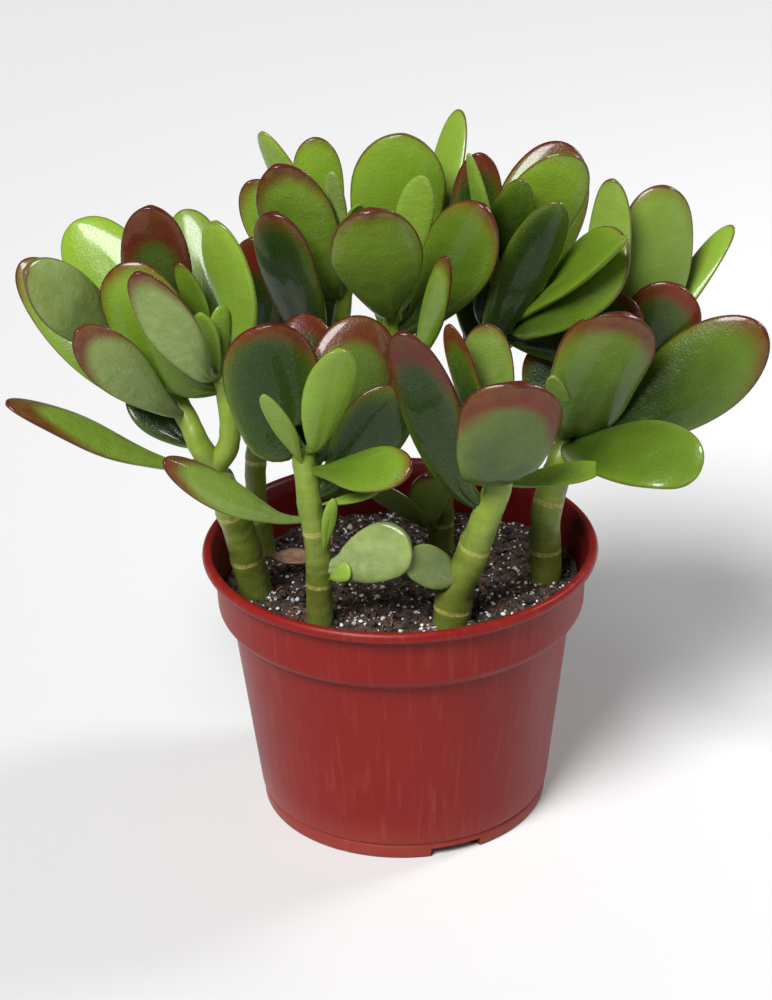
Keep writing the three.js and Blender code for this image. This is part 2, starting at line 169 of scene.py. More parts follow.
# Half thickness of a small leaf in millimetres: the least, and what each millimetre of width adds
LEAST_THICKNESS = 0.6
THICKNESS_SHARE = 0.065

# How far along a small leaf its two inner spine points are, and how much of the bend each takes
SPINE_PLACES = (0.3, 0.7)
SPINE_BENDS = (0.8, 1.2)

# Points on each stretch of a smooth curve, and on each eased corner of a profile
CURVE_STEPS = 60
CORNER_POINTS = 5
CORNER_SHARE = 0.45  # the most of a side that an eased corner takes

# Points along a stem's axis: to find where a leaf's foot goes, to place its scars, and to measure its length
AXIS_POINTS, TRUNK_POINTS, RUN_POINTS = 160, 200, 50

# First seed of the young leaves, the withered ones and the stems, and how much the first two curl
YOUNG_SEED, DRY_SEED, STEM_SEED = 100, 200, 300
YOUNG_CURL, DRY_CURL = 0.1, 0.4


def paint(red, green, blue):
    """Linear colour of a display colour given in 0 to 255."""
    share = np.array([red, green, blue]) / 255
    return tuple(np.where(share > 0.04045, ((share + 0.055) / 1.055) ** 2.4, share / 12.92))


def lengths(vectors):
    return np.linalg.norm(vectors, axis=-1, keepdims=True)


def unit(vectors):
    return vectors / lengths(vectors)


def ripples(points, wavelength, seed, count=24):
    """Smooth random relief about -1 to 1: the scaled mean of sine waves of random direction, length and
    phase."""
    rng = np.random.default_rng(seed)
    directions = unit(rng.normal(size=(count, 3)))
    numbers = TURN / (wavelength * rng.uniform(0.6, 1.6, count))
    waves = np.sin(points @ (directions * numbers[:, None]).T + rng.uniform(0, TURN, count))
    return waves.sum(axis=-1) / np.sqrt(count)


# ---------------------------------------------------------------------------------------------- mesh making


def mesh_object(name, points, faces, facts=None):
    """A smooth-shaded object from points in metres and lists of faces. facts maps an attribute's name to
    one number or three for each point."""
    mesh = bpy.data.meshes.new(name)
    mesh.from_pydata(np.asarray(points, float).tolist(), [], faces)
    mesh.polygons.foreach_set("use_smooth", np.ones(len(mesh.polygons), bool))
    for fact, values in (facts or {}).items():
        values = np.asarray(values, np.float32)
        if values.ndim == 1:
            mesh.attributes.new(fact, "FLOAT", "POINT").data.foreach_set("value", values)
        else:
            mesh.attributes.new(fact, "FLOAT_VECTOR", "POINT").data.foreach_set("vector", values.ravel())
    mesh.update()
    thing = bpy.data.objects.new(name, mesh)
    bpy.context.scene.collection.objects.link(thing)
    return thing


def skin_faces(rings, sides, first=0):
    """Faces of a closed skin: a pole, rings of points one after another, and a pole."""
    k = np.arange(sides)
    after = (k + 1) % sides
    near = first + 1 + np.arange(rings - 1)[:, None] * sides
    quads = np.stack([near + k, near + after, near + sides + after, near + sides + k], axis=-1).reshape(-1, 4)
    start = np.stack([np.full(sides, first), first + 1 + after, first + 1 + k], axis=-1)
    last = first + 1 + (rings - 1) * sides
    end = np.stack([last + k, last + after, np.full(sides, last + sides)], axis=-1)
    return start.tolist() + quads.tolist() + end.tolist()


def finish_piece(thing, finish, nodes=()):
    """Gives a piece its material and slot, and ties it to the frame."""
    thing.data.materials.append(finish)
    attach(thing, "root")
    if nodes:
        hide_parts(*nodes)
    return thing


def smooth_path(points, count):
    """Evenly spaced points, with their directions, on a centripetal Catmull-Rom curve: each stretch is the
    cubic whose end slopes weigh the neighbouring chords by the square roots of their lengths."""
    points = np.asarray(points, float)
    padded = np.vstack([2 * points[0] - points[1], points, 2 * points[-1] - points[-2]])
    p0, p1, p2, p3 = padded[:-3], padded[1:-2], padded[2:-1], padded[3:]
    d0, d1, d2 = (np.sqrt(lengths(b - a)) for a, b in ((p0, p1), (p1, p2), (p2, p3)))
    leave = d1 * ((p1 - p0) / d0 - (p2 - p0) / (d0 + d1) + (p2 - p1) / d1)
    arrive = d1 * ((p2 - p1) / d1 - (p3 - p1) / (d1 + d2) + (p3 - p2) / d2)
    t = np.linspace(0, 1, CURVE_STEPS)[:, None, None]
    curve = p1 + leave * t + (3 * (p2 - p1) - 2 * leave - arrive) * t**2
    curve = curve + (2 * (p1 - p2) + leave + arrive) * t**3
    curve = curve.transpose(1, 0, 2).reshape(-1, 3)
    steps = lengths(np.diff(curve, axis=0))[:, 0]
    run = np.concatenate([[0], np.cumsum(steps)])
    wanted = np.linspace(0, run[-1], count)
    places = np.stack([np.interp(wanted, run, curve[:, i]) for i in range(3)], axis=-1)
    return places, unit(np.gradient(places, axis=0)), run[-1]


def rounded(profile, reach):
    """A profile whose corners are eased: each becomes a short parabola that starts and ends reach away from
    it, or less than half way along a short side."""
    profile = np.asarray(profile, float)
    corner, before, after = profile[1:-1], profile[:-2], profile[2:]
    back, ahead = before - corner, after - corner
    start = corner + back * np.minimum(reach / lengths(back), CORNER_SHARE)
    end = corner + ahead * np.minimum(reach / lengths(ahead), CORNER_SHARE)
    t = np.linspace(0, 1, CORNER_POINTS)[:, None, None]
    arcs = (1 - t) ** 2 * start + 2 * t * (1 - t) * corner + t**2 * end
    return np.vstack([profile[:1], arcs.transpose(1, 0, 2).reshape(-1, 2), profile[-1:]])


# ---------------------------------------------------------------------------------------------- node helpers


def material(name):
    """A new material with its node tree and its Principled shader."""
    made = bpy.data.materials.new(name)
    made.use_nodes = True
    return made, made.node_tree, made.node_tree.nodes["Principled BSDF"]


def add(tree, kind, **settings):
    node = tree.nodes.new("ShaderNode" + kind)
    for setting, value in settings.items():
        setattr(node, setting, value)
    return node


def feed(tree, socket, value):
    if isinstance(value, bpy.types.NodeSocket):
        tree.links.new(value, socket)
    elif isinstance(value, tuple) and len(value) == 3 and socket.type == "RGBA":
        socket.default_value = (*value, 1)
    else:
        socket.default_value = value


def calc(tree, operation, *values):
    node = add(tree, "Math", operation=operation)
    for socket, value in zip(node.inputs, values):
        feed(tree, socket, value)
    return node.outputs[0]


def mixed(tree, share, first, second):
    """Colour between first and second by share."""
    node = add(tree, "Mix", data_type="RGBA", clamp_factor=True)
    for socket, value in ((node.inputs[0], share), (node.inputs[6], first), (node.inputs[7], second)):
        feed(tree, socket, value)
    return node.outputs[2]


def rise(tree, value, low, high, start=0.0, end=1.0):
    """Smooth step of a value from start at low to end at high."""
    node = add(tree, "MapRange", interpolation_type="SMOOTHSTEP")
    for socket, number in zip(node.inputs, (value, low, high, start, end)):
        feed(tree, socket, number)
    return node.outputs[0]


def noise(tree, place, scale, detail=2.0, roughness=0.5):
    node = add(tree, "TexNoise")
    feed(tree, node.inputs["Vector"], place)
    node.inputs["Scale"].default_value = scale
    node.inputs["Detail"].default_value = detail
    node.inputs["Roughness"].default_value = roughness
    return node.outputs["Fac"]


def cells(tree, place, scale):
    """Distance to the nearest of scattered points."""
    node = add(tree, "TexVoronoi")
    feed(tree, node.inputs["Vector"], place)
    node.inputs["Scale"].default_value = scale
    return node.outputs["Distance"]


def object_place(tree):
    return add(tree, "TexCoord").outputs["Object"]


def split(tree, vector):
    node = add(tree, "SeparateXYZ")
    feed(tree, node.inputs[0], vector)
    return node.outputs


def fact(tree, name):
    return add(tree, "Attribute", attribute_name=name)


def bump(tree, height, depth, strength=1.0, base=None):
    """Bump of a height from 0 to 1 that stands for depth metres."""
    node = add(tree, "Bump")
    node.inputs["Strength"].default_value = strength
    node.inputs["Distance"].default_value = depth
    feed(tree, node.inputs["Height"], height)
    if base:
        feed(tree, node.inputs["Normal"], base)
    return node.outputs["Normal"]


# ---------------------------------------------------------------------------------------------- finishes


def leaf_skin(colours):
    """Waxy green leaf. The green goes from deep to bright with the leaf's tone, which on the inner leaves is
    partly painted shade, and drifts in broad patches. It is darker towards the foot and brighter towards the
    tip as painted shade and light, brightens at the rim as a painted glow of light through the thin edge,
    and pales where the leaf is dusty. Red comes in from the rim, most at the tip, as far as the leaf has
    reddened, and a thin dark line runs along the edge. Fine pale specks and a faint pebbling cover it
    all."""
    made, tree, shader = material("leaf_skin")
    place = object_place(tree)
    along, rim, upper = split(tree, fact(tree, "leaf_place").outputs["Vector"])
    tone, pale, blush = split(tree, fact(tree, "leaf_look").outputs["Vector"])
    patches = noise(tree, place, 50, 2)
    cloud = noise(tree, place, 260, 3)
    # The tone is partly the leaf's own colour and partly painted shade, lowest on the inner leaves.
    lift = calc(tree, "MULTIPLY_ADD", tone, 0.9, calc(tree, "MULTIPLY_ADD", patches, 0.35, 0.28))
    # Painted shade and light: the green darkens towards the foot and brightens towards the tip.
    lift = calc(tree, "ADD", lift, calc(tree, "MULTIPLY", calc(tree, "SUBTRACT", along, 0.55), 0.5))
    green = mixed(tree, lift, tuple(colours.deep), tuple(colours.bright))
    # Painted glow: the green brightens towards the rim, standing in for light through the thin edge.
    rim_glow = calc(tree, "MULTIPLY", calc(tree, "POWER", rim, 5.0), 0.35)
    green = mixed(tree, rim_glow, green, tuple(colours.bright))
    dust = calc(tree, "MULTIPLY", pale, calc(tree, "MULTIPLY_ADD", cloud, 0.6, 0.3))
    green = mixed(tree, dust, green, tuple(colours.pale))
    specks = calc(tree, "SUBTRACT", 1.0, rise(tree, cells(tree, place, 1300), 0.12, 0.3))
    green = mixed(tree, calc(tree, "MULTIPLY", specks, 0.08), green, tuple(colours.speck))
    reach = calc(tree, "MULTIPLY_ADD", calc(tree, "POWER", along, 2.0), 0.75, 0.2)
    start = calc(tree, "SUBTRACT", 1.04, calc(tree, "MULTIPLY", calc(tree, "MULTIPLY", reach, blush), 0.85))
    edge = calc(tree, "MULTIPLY_ADD", calc(tree, "SUBTRACT", patches, 0.5), 0.35, rim)
    edge = calc(tree, "MULTIPLY_ADD", blush, calc(tree, "MULTIPLY_ADD", along, 1.0, -0.5), edge)
    redness = rise(tree, edge, start, calc(tree, "ADD", start, 0.5))
    redness = calc(tree, "MULTIPLY", redness, calc(tree, "MULTIPLY_ADD", cloud, 0.4, 0.65))
    red = mixed(tree, patches, tuple(colours.red), tuple(colours.maroon))
    skin = mixed(tree, redness, green, red)
    sharp = rise(tree, calc(tree, "MULTIPLY_ADD", cloud, 0.04, rim), 0.972, 1.0)
    line = calc(tree, "MULTIPLY", sharp, rise(tree, along, 0.2, 0.75, 0.1, 0.75))
    line = calc(tree, "MULTIPLY", line, rise(tree, blush, 0.0, 0.3, 0.35, 1.0))
    skin = mixed(tree, line, skin, tuple(colours.maroon))
    feed(tree, shader.inputs["Base Color"], skin)
    rough = calc(tree, "MULTIPLY_ADD", cloud, 0.16, 0.24)
    feed(tree, shader.inputs["Roughness"], calc(tree, "MULTIPLY_ADD", pale, 0.25, rough))
    shader.inputs["Specular IOR Level"].default_value = 0.2
    shader.inputs["Coat Weight"].default_value = 0.35
    shader.inputs["Coat Roughness"].default_value = 0.1
    shader.inputs["Subsurface Weight"].default_value = 0.12
    shader.inputs["Subsurface Radius"].default_value = (0.4, 1.0, 0.15)
    shader.inputs["Subsurface Scale"].default_value = 0.002
    pebbles = bump(tree, noise(tree, place, 1400, 2), 0.00028, 0.7)
    feed(tree, shader.inputs["Normal"], bump(tree, noise(tree, place, 200, 2), 0.0006, 0.6, pebbles))
    return made


def stem_skin(colours):
    """Juicy stem: bright green above, browner and mottled towards the soil, with a pale ring and a dark
    groove at each leaf scar and short dashes along its length."""
    made, tree, shader = material("stem_skin")
    place = object_place(tree)
    height = split(tree, place)[2]
    scar = fact(tree, "scar").outputs["Fac"]
    patches = noise(tree, place, 120, 3)
    fine = noise(tree, place, 700, 3, 0.6)
    old = rise(tree, calc(tree, "MULTIPLY_ADD", patches, 0.05, height), 0.175, 0.112)
    green = mixed(tree, patches, tuple(colours.young), tuple(colours.fresh))
    green = mixed(tree, calc(tree, "MULTIPLY", old, 0.75), green, tuple(colours.old))
    mottle = calc(tree, "MULTIPLY", rise(tree, fine, 0.5, 0.68), calc(tree, "MULTIPLY_ADD", old, 0.55, 0.1))
    green = mixed(tree, mottle, green, tuple(colours.bark))
    broken = rise(tree, fine, 0.35, 0.6, 0.25, 0.8)
    scarred = calc(tree, "MULTIPLY", rise(tree, scar, 0.15, 0.6), broken)
    green = mixed(tree, scarred, green, tuple(colours.ring))
    groove = calc(tree, "MULTIPLY", rise(tree, scar, 0.6, 0.7), 0.6)
    green = mixed(tree, groove, green, tuple(colours.bark))
    feed(tree, shader.inputs["Base Color"], green)
    feed(tree, shader.inputs["Roughness"], calc(tree, "MULTIPLY_ADD", fine, 0.3, 0.25))
    shader.inputs["Specular IOR Level"].default_value = 0.3
    shader.inputs["Coat Weight"].default_value = 0.15
    shader.inputs["Coat Roughness"].default_value = 0.2
    shader.inputs["Subsurface Weight"].default_value = 0.1
    shader.inputs["Subsurface Radius"].default_value = (0.5, 1.0, 0.2)
    shader.inputs["Subsurface Scale"].default_value = 0.002
    stretched = add(tree, "Mapping")
    stretched.inputs["Scale"].default_value = (1, 1, 0.25)
    feed(tree, stretched.inputs["Vector"], place)
    grain = noise(tree, stretched.outputs[0], 900, 3)
    feed(tree, shader.inputs["Normal"], bump(tree, grain, 0.0003, 0.6))
    return made


def pot_plastic(colours):
    """Moulded plastic: brick red, with broad faint blotches, fine vertical rub marks, dust caught low down on
    the wall, a darker red on the inner wall that is painted shade, and a soft sheen."""
    made, tree, shader = material("pot_plastic")
    place = object_place(tree)
    height = split(tree, place)[2]
    inside = fact(tree, "inside").outputs["Fac"]
    blotches = noise(tree, place, 28, 3)
    upright = add(tree, "Mapping")
    upright.inputs["Scale"].default_value = (1, 1, 0.06)
    feed(tree, upright.inputs["Vector"], place)
    streaks = noise(tree, upright.outputs[0], 420, 3)
    lighter = calc(tree, "MULTIPLY_ADD", blotches, 0.7, 0.1)
    red = mixed(tree, lighter, tuple(colours.wall), tuple(colours.wall_light))
    red = mixed(tree, calc(tree, "MULTIPLY", rise(tree, streaks, 0.5, 0.8), 0.08), red, tuple(colours.dust))
    low = rise(tree, calc(tree, "MULTIPLY_ADD", blotches, 0.02, height), 0.03, 0.008)
    red = mixed(tree, calc(tree, "MULTIPLY", low, 0.12), red, tuple(colours.dust))
    # Painted shade: the inner wall is darkened towards the inside colour.
    red = mixed(tree, calc(tree, "MULTIPLY", inside, 0.8), red, tuple(colours.inside))
    feed(tree, shader.inputs["Base Color"], red)
    feed(tree, shader.inputs["Roughness"], calc(tree, "MULTIPLY_ADD", blotches, 0.2, 0.3))
    shader.inputs["Specular IOR Level"].default_value = 0.2
    grain = bump(tree, noise(tree, place, 1600, 2), 0.00006, 0.4)
    feed(tree, shader.inputs["Normal"], bump(tree, streaks, 0.0002, 0.35, grain))
    return made


def peat(colours):
    """Dark moist peat: near black to brown in lumps, with lighter fibres and grit, fully matt."""
    made, tree, shader = material("peat")
    place = object_place(tree)
    lumps = noise(tree, place, 260, 5, 0.65)
    grit = noise(tree, place, 1100, 3, 0.6)
    brown = mixed(tree, rise(tree, lumps, 0.35, 0.7), tuple(colours.dark), tuple(colours.brown))
    brown = mixed(tree, rise(tree, grit, 0.58, 0.75, 0.0, 0.6), brown, tuple(colours.fibre))
    feed(tree, shader.inputs["Base Color"], brown)
    feed(tree, shader.inputs["Roughness"], calc(tree, "MULTIPLY_ADD", grit, 0.25, 0.7))
    feed(tree, shader.inputs["Normal"], bump(tree, lumps, 0.002, 0.8))
    return made


def crumb_finish(name, dark, light, rough):
    """Loose bits: each has its own shade between dark and light, with a fine grain."""
    made, tree, shader = material(name)
    place = object_place(tree)
    shade = fact(tree, "shade").outputs["Fac"]
    grain = noise(tree, place, 1500, 3)
    share = calc(tree, "MULTIPLY_ADD", grain, 0.4, calc(tree, "MULTIPLY_ADD", shade, 0.9, -0.15))
    feed(tree, shader.inputs["Base Color"], mixed(tree, share, tuple(dark), tuple(light)))
    feed(tree, shader.inputs["Roughness"], calc(tree, "MULTIPLY_ADD", grain, 0.2, rough))
    feed(tree, shader.inputs["Normal"], bump(tree, grain, 0.0004, 0.7))
    return made


def withered_skin(colours):
    """Dried leaf: brown to maroon in streaks, wrinkled."""
    made, tree, shader = material("withered_skin")
    place = object_place(tree)
    streaks = noise(tree, place, 500, 4, 0.6)
    feed(tree, shader.inputs["Base Color"], mixed(tree, streaks, tuple(colours.maroon), tuple(colours.straw)))
    feed(tree, shader.inputs["Roughness"], calc(tree, "MULTIPLY_ADD", streaks, 0.3, 0.4))
    feed(tree, shader.inputs["Normal"], bump(tree, streaks, 0.0006, 0.8))
    return made


def backdrop_paper(colour):
    """Matt paper of one colour, with a very faint paler grain."""
    made, tree, shader = material("backdrop_paper")
    grain = noise(tree, object_place(tree), 90, 3)
    paper = mixed(tree, calc(tree, "MULTIPLY", grain, 0.04), colour, (0.7, 0.7, 0.7))
    feed(tree, shader.inputs["Base Color"], paper)
    shader.inputs["Roughness"].default_value = 0.9
    return made


# ---------------------------------------------------------------------------------------------- pot

LIP_TO_FOOT = 1.36  # radius of the lip over that of the foot ring
FOOT_RING = 47  # millimetres from the axis, just inside the foot ring
SLOT_END = 0.004  # radians between the two turns at each end of a slot
EASE = 1.2  # millimetres that each corner of the profile is eased over
DRILL_HEIGHTS = (0.003, 0.012)
DRILL_SIDES = 32


def pot_profile():
    """Radius and height in millimetres, from the middle of the foot's underside, out and up the wall to the
    rolled lip, and down the inside to the middle of the floor. Also the number of turned points before the
    inside."""
    outside = [(0, 6), (48.8, 6), (48.8, 0), (51.4, 0), (51.6, 4.6), (51.0, 5.4), (52.3, 6.6), (60.4, 75),
               (63.6, 76.2), (65, 78.4), (65.3, 84), (66, 95.4), (67.4, 96), (69.4, 96.2), (70, 98),
               (69.2, 99.6), (68, 100)]
    inside = [(66.4, 99.4), (64.3, 95), (63, 79), (58.4, 76), (50, 8.5), (0, 8.5)]
    return rounded(outside + inside, EASE), CORNER_POINTS * (len(outside) - 1)


def slot_turns(settings):
    """Directions of the slots and of the drain holes from the axis: equal turns from the first slot."""
    return np.radians(settings.first_slot - 90 + np.arange(settings.slots) * 360 / settings.slots)


def pot_points(settings):
    """The profile turned about the axis. The foot ring's underside rises at each slot, between two turns
    set close together so that the slot's ends stand straight."""
    profile, turned_in = pot_profile()
    slots = slot_turns(settings)
    half = settings.slot_width / 2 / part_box("pot")[1].x * LIP_TO_FOOT
    ends = (slots[:, None] + np.array([-half, -half + SLOT_END, half - SLOT_END, half])).ravel()
    turns = np.sort(np.concatenate([np.arange(settings.sides) * TURN / settings.sides, ends % TURN]))
    off = np.abs((turns[:, None] - slots + np.pi) % TURN - np.pi).min(axis=1)
    in_slot = (off < half - SLOT_END / 2)[None, :]
    radius = np.repeat(profile[1:-1, :1], len(turns), axis=1)
    height = np.repeat(profile[1:-1, 1:], len(turns), axis=1)
    foot = (radius > FOOT_RING) & (height < settings.slot_height / MM)
    height = np.where(foot & in_slot, settings.slot_height / MM, height)
    shape = np.stack([radius * np.cos(turns), radius * np.sin(turns), height], axis=-1)
    inside = np.repeat(np.arange(len(profile) - 2)[:, None] > turned_in, len(turns), axis=1)
    return profile, shape, inside


class JADE_PG_pot(bpy.types.PropertyGroup):
    """Sizes and colours of the pot."""

    sides: IntProperty(name="Sides", description="Steps round the pot", default=240, min=24, max=480)
    slots: IntProperty(name="Slots", description="Drain slots in the foot ring", default=3, min=0, max=8)
    first_slot: FloatProperty(name="First slot", description="Degrees right of the front", default=20)
    slot_width: FloatProperty(name="Slot width", description="Length of a slot", default=0.019,
                              subtype="DISTANCE")
    slot_height: FloatProperty(name="Slot height", description="Height of a slot", default=0.0034,
                               subtype="DISTANCE")
    hole_radius: FloatProperty(name="Drain hole radius", description="Radius of a hole in the floor",
                               default=0.004, subtype="DISTANCE")
    hole_circle: FloatProperty(name="Drain hole circle", description="How far the holes are from the axis",
                               default=0.034, subtype="DISTANCE")
    wall: FloatVectorProperty(name="Wall", description="Main red", subtype="COLOR",
                              default=paint(108, 16, 13))
    wall_light: FloatVectorProperty(name="Wall light", description="Lighter red", subtype="COLOR",
                                    default=paint(128, 26, 18))
    dust: FloatVectorProperty(name="Dust", description="Rub marks and dust", subtype="COLOR",
                              default=paint(190, 120, 100))
    # The inner wall's darker red is painted shade on the same plastic.
    inside: FloatVectorProperty(name="Inside", description="Inner wall", subtype="COLOR",
                                default=paint(84, 12, 12))


class JADE_OT_pot(bpy.types.Operator):
    """Make the pot: the lathe profile turned about the axis, with slots in its foot and holes in its
    floor"""

    bl_idname = "jade_plant.pot"
    bl_label = "Make the pot"

    def execute(self, context):
        settings = context.scene.jade_pot
        profile, shape, inside = pot_points(settings)
        rings, sides = shape.shape[:2]
        points = np.vstack([[0, 0, profile[0, 1]], shape.reshape(-1, 3), [0, 0, profile[-1, 1]]]) * MM
        # inside marks the inner wall, which the finish darkens as painted shade.
        facts = {"inside": np.concatenate([[0], inside.ravel(), [1]])}
        pot = mesh_object("pot_shell", points, skin_faces(rings, sides), facts)
        drill(pot, settings)
        finish_piece(pot, pot_plastic(settings), ["pot"])
        return {"FINISHED"}


def drill(pot, settings):
    """Cuts the drain holes through the floor with one cylinder for each slot."""
    k = np.arange(DRILL_SIDES) * TURN / DRILL_SIDES
    for turn in slot_turns(settings):
        middle = settings.hole_circle * np.array([np.cos(turn), np.sin(turn)])
        ring = middle + settings.hole_radius * np.stack([np.cos(k), np.sin(k)], axis=-1)
        low, high = (np.column_stack([ring, np.full(DRILL_SIDES, height)]) for height in DRILL_HEIGHTS)
        points = np.vstack([[*middle, DRILL_HEIGHTS[0]], low, high, [*middle, DRILL_HEIGHTS[1]]])
        cutter = mesh_object("cutter", points, skin_faces(2, DRILL_SIDES))
        cut = pot.modifiers.new("drain", "BOOLEAN")
        cut.operation = "DIFFERENCE"
        cut.object = cutter
        applied = bpy.data.meshes.new_from_object(pot.evaluated_get(bpy.context.evaluated_depsgraph_get()))
        pot.modifiers.clear()
        pot.data = applied
        bpy.data.objects.remove(cutter)
    pot.data.name = pot.name


# ---------------------------------------------------------------------------------------------- soil


RELIEF = [(0.7, 9, 11), (0.5, 4, 12), (0.35, 2.2, 13)]  # millimetres high, millimetres long, and seed
SOIL_SIDES = 220
SOIL_RADII = np.linspace(62.7, 0.8, 74)  # of the rings of the top, in millimetres
FIBRE_LENGTHS, FIBRE_RADII = (3, 11), (0.12, 0.4)  # least and most, in millimetres
FIBRE_ARCHES, FIBRE_LIFT = (0.1, 1.2), 0.2  # how far a fibre's middle and all of it stand off the soil


def soil_height(x, y):
    """Height of the packed soil in millimetres: a slope, with lumps."""
    lumps = np.sin(x / 9) * np.cos(y / 11) + 0.6 * np.sin((x + y) / 5)
    return SOIL_TOP + 0.03 * x - 0.06 * y + lumps


def rough_height(x, y):
    """The soil's height with finer relief of three sizes."""
    flat = np.stack([x, y, np.zeros_like(x)], axis=-1)
    return soil_height(x, y) + sum(high * ripples(flat, long, seed) for high, long, seed in RELIEF)


def scattered(count, rng, radius=60.5):
    """Random places on the soil, even over its area."""
    r = radius * np.sqrt(rng.uniform(0, 1, count))
    turn = rng.uniform(0, TURN, count)
    x, y = r * np.cos(turn), r * np.sin(turn)
    return np.stack([x, y, rough_height(x, y)], axis=-1)


def pebbles(name, count, sizes, flatness, seed, sink=0.3):
    """Loose bits on the soil: one twenty-sided lump, its corners pushed in and out at random, turned,
    stretched and placed for each bit."""
    rng = np.random.default_rng(seed)
    gold = (1 + 5**0.5) / 2
    corners = np.array([(-1, gold, 0), (1, gold, 0), (-1, -gold, 0), (1, -gold, 0),
                        (0, -1, gold), (0, 1, gold), (0, -1, -gold), (0, 1, -gold),
                        (gold, 0, -1), (gold, 0, 1), (-gold, 0, -1), (-gold, 0, 1)])
    triangles = np.array([(0, 11, 5), (0, 5, 1), (0, 1, 7), (0, 7, 10), (0, 10, 11),
                          (1, 5, 9), (5, 11, 4), (11, 10, 2), (10, 7, 6), (7, 1, 8),
                          (3, 9, 4), (3, 4, 2), (3, 2, 6), (3, 6, 8), (3, 8, 9),
                          (4, 9, 5), (2, 4, 11), (6, 2, 10), (8, 6, 7), (9, 8, 1)])
    size = np.exp(rng.uniform(np.log(sizes[0]), np.log(sizes[1]), (count, 1, 1))) / 2
    dents = rng.uniform(0.75, 1.25, (count, len(corners), 1))
    shape = unit(corners) * dents * rng.uniform(0.7, 1.3, (count, 1, 3))
    turns, _ = np.linalg.qr(rng.normal(size=(count, 3, 3)))
    turns = turns * np.sign(np.linalg.det(turns))[:, None, None]
    shape = (shape @ turns) * size * np.array([1, 1, flatness])
    places = scattered(count, rng)
    places[:, 2] += size[:, 0, 0] * (1 - 2 * sink) * flatness
    points = (places[:, None] + shape).reshape(-1, 3) * MM
    faces = (triangles + len(corners) * np.arange(count)[:, None, None]).reshape(-1, 3)
    shade = np.repeat(rng.uniform(0, 1, count), len(corners))
    return mesh_object(name, points, faces.tolist(), {"shade": shade})


def fibres(name, count, seed):
    """Bits of root and bark: thin three-sided tubes along bent lines, tapering to a point at each end."""
    rng = np.random.default_rng(seed)
    stations, sides = 5, 3
    t = np.linspace(-1, 1, stations)
    heading = rng.uniform(0, TURN, (count, 1))
    bend = rng.uniform(-0.6, 0.6, (count, 1))
    turn = heading + bend * t
    length = rng.uniform(*FIBRE_LENGTHS, (count, 1)) / 2
    middle = scattered(count, rng, 57)
    level = np.zeros((count, stations))
    line = np.stack([length * t * np.cos(turn), length * t * np.sin(turn), level], axis=-1)
    line += middle[:, None]
    arch = rng.uniform(*FIBRE_ARCHES, (count, 1)) * (1 - t**2)
    line[..., 2] = rough_height(line[..., 0], line[..., 1]) + arch + FIBRE_LIFT
    across = np.stack([-np.sin(turn), np.cos(turn), np.zeros_like(turn)], axis=-1)
    thick = rng.uniform(*FIBRE_RADII, (count, 1)) * (1.15 - t**2)
    k = np.arange(sides) * TURN / sides
    ring = across[:, :, None] * np.cos(k)[:, None] + np.array([0, 0, 1]) * np.sin(k)[:, None]
    rings = line[:, :, None] + thick[..., None, None] * ring
    ends = line[:, [0, -1]] + (line[:, [0, -1]] - line[:, [1, -2]]) * 0.1
    points = np.concatenate([ends[:, :1], rings.reshape(count, -1, 3), ends[:, 1:]], axis=1)
    each = points.shape[1]
    faces = [face for fibre in range(count) for face in skin_faces(stations, sides, each * fibre)]
    shade = np.repeat(rng.uniform(0, 1, count), each)
    return mesh_object(name, points.reshape(-1, 3) * MM, faces, {"shade": shade})


class JADE_PG_soil(bpy.types.PropertyGroup):
    """Amounts and colours of the soil."""

    crumbs: IntProperty(name="Crumbs", description="Loose peat crumbs", default=1500, min=0, max=5000)
    perlite: IntProperty(name="Perlite", description="White grains", default=1300, min=0, max=3000)
    fibres: IntProperty(name="Fibres", description="Bits of root and bark", default=240, min=0, max=2000)
    dark: FloatVectorProperty(name="Dark", description="Wet peat", subtype="COLOR",
                              default=paint(17, 13, 13))
    brown: FloatVectorProperty(name="Brown", description="Dry peat", subtype="COLOR",
                               default=paint(80, 60, 48))
    fibre: FloatVectorProperty(name="Fibre", description="Fibres", subtype="COLOR",
                               default=paint(150, 112, 82))
    white: FloatVectorProperty(name="White", description="Perlite", subtype="COLOR",
                               default=paint(226, 226, 222))
    grey: FloatVectorProperty(name="Grey", description="Dirty perlite", subtype="COLOR",
                              default=paint(140, 138, 140))


class JADE_OT_soil(bpy.types.Operator):
    """Make the soil: a filled body with a rough top, and the crumbs, grains and fibres that lie on it"""

    bl_idname = "jade_plant.soil"
    bl_label = "Make the soil"

    def execute(self, context):
        settings = context.scene.jade_soil
        turns = np.arange(SOIL_SIDES) * TURN / SOIL_SIDES
        radii = [*(radius for radius, _ in SOIL_SIDE), *SOIL_RADII]
        x = np.outer(radii, np.cos(turns))
        y = np.outer(radii, np.sin(turns))
        z = rough_height(x, y)
        for row, (_, height) in enumerate(SOIL_SIDE):
            z[row] = height
        middle = rough_height(np.zeros(1), np.zeros(1))[0]
        grid = np.stack([x, y, z], axis=-1).reshape(-1, 3)
        points = np.vstack([[0, 0, SOIL_SIDE[0][1]], grid, [0, 0, middle]]) * MM
        body = mesh_object("soil_body", points, skin_faces(len(radii), len(turns)))
        finish_piece(body, peat(settings), ["soil"])
        loose = crumb_finish("peat_crumb", settings.dark, settings.brown, 0.75)
        crumbs = pebbles("soil_crumbs", settings.crumbs, (0.9, 3.4), 0.8, 21)
        finish_piece(crumbs, loose)
        grain = crumb_finish("perlite_grain", settings.grey, settings.white, 0.65)
        perlite = pebbles("soil_perlite", settings.perlite, (0.4, 1.9), 0.85, 22, 0.1)
        finish_piece(perlite, grain)
        strand = crumb_finish("root_fibre", settings.brown, settings.fibre, 0.6)
        finish_piece(fibres("soil_fibres", settings.fibres, 23), strand)
        return {"FINISHED"}


# ---------------------------------------------------------------------------------------------- leaves

